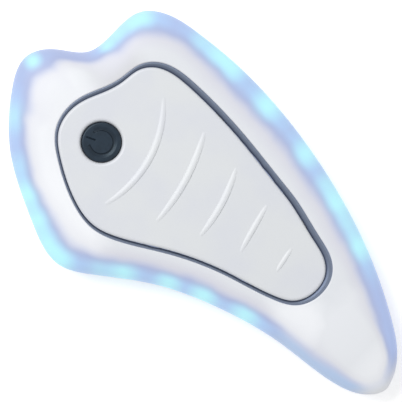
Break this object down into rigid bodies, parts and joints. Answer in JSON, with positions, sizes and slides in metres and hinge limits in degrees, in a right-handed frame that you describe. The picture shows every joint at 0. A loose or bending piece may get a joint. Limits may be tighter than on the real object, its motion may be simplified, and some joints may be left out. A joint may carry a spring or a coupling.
{
  "type": "electric facial massager",
  "caption": "Palm-sized curved facial massager: frosted shell with a light ring, notched head, tapering tail, ridged grip panel and a power button.",
  "frame": {"origin": "centre of the flat rest face on the back, under the middle of the outline", "axes": "+X from the notched head to the tail tip, +Y across towards the high side of the back, +Z out of the button face"},
  "size_m": [0.1197, 0.0654, 0.0143],
  "materials": {
    "frosted_shell": "satin",
    "slate_trim": "satin",
    "grey_panel": "satin",
    "button_rubber": "matte",
    "black_plastic": "matte",
    "switch_metal": "brushed",
    "circuit_green": "satin",
    "chip_black": "matte",
    "screw_steel": "brushed",
    "white_frame": "matte",
    "battery_foil": "satin",
    "grey_foam": "matte",
    "red_wire": "satin",
    "blue_wire": "satin",
    "connector_white": "satin",
    "motor_steel": "brushed",
    "shaft_steel": "polished",
    "weight_metal": "cast",
    "boot_rubber": "matte",
    "strip_film": "satin",
    "led_lens": "glossy",
    "clear_guide": "glossy",
    "seal_rubber": "matte",
    "contact_gold": "polished",
    "spring_brass": "satin",
    "magnet_nickel": "polished"
  },
  "bodies": {
    "housing": {"front_shell": "frosted_shell", "back_shell": "frosted_shell", "trim_ring": "slate_trim", "grip_panel": "grey_panel", "tact_switch": "switch_metal", "main_board": "circuit_green", "board_components": "chip_black", "board_screws": "screw_steel", "frame_screws": "screw_steel", "inner_frame": "white_frame", "battery": "battery_foil", "battery_pad": "grey_foam", "battery_leads": "red_wire", "motor_leads": "blue_wire", "wire_connectors": "connector_white", "motor_can": "motor_steel", "motor_boot": "boot_rubber", "led_strip": "strip_film", "led_chips": "led_lens", "light_guide": "clear_guide", "rim_seal": "seal_rubber", "charge_contacts": "contact_gold", "contact_springs": "spring_brass", "charge_magnets": "magnet_nickel"},
    "button": {"power_button": "button_rubber"},
    "stem": {"switch_stem": "black_plastic"},
    "rotor": {"motor_shaft": "shaft_steel", "eccentric_weight": "weight_metal"}
  },
  "joints": [
    {"name": "button_press", "type": "slide", "parent": "housing", "child": "button", "axis": [0, 0, -1], "range_m": [0, 0.0004], "stiffness_N_per_m": 4000},
    {"name": "stem_press", "type": "slide", "parent": "housing", "child": "stem", "axis": [0, 0, -1], "range_m": [0, 0.0004]},
    {"name": "motor_spin", "type": "hinge", "parent": "housing", "child": "rotor", "pos_m": [0.0255, 0.00581, 0.0081], "axis": [1, 0, 0], "continuous": true}
  ],
  "couplings": [
    {"joint": "stem_press", "follows": "button_press", "ratio": 1}
  ]
}
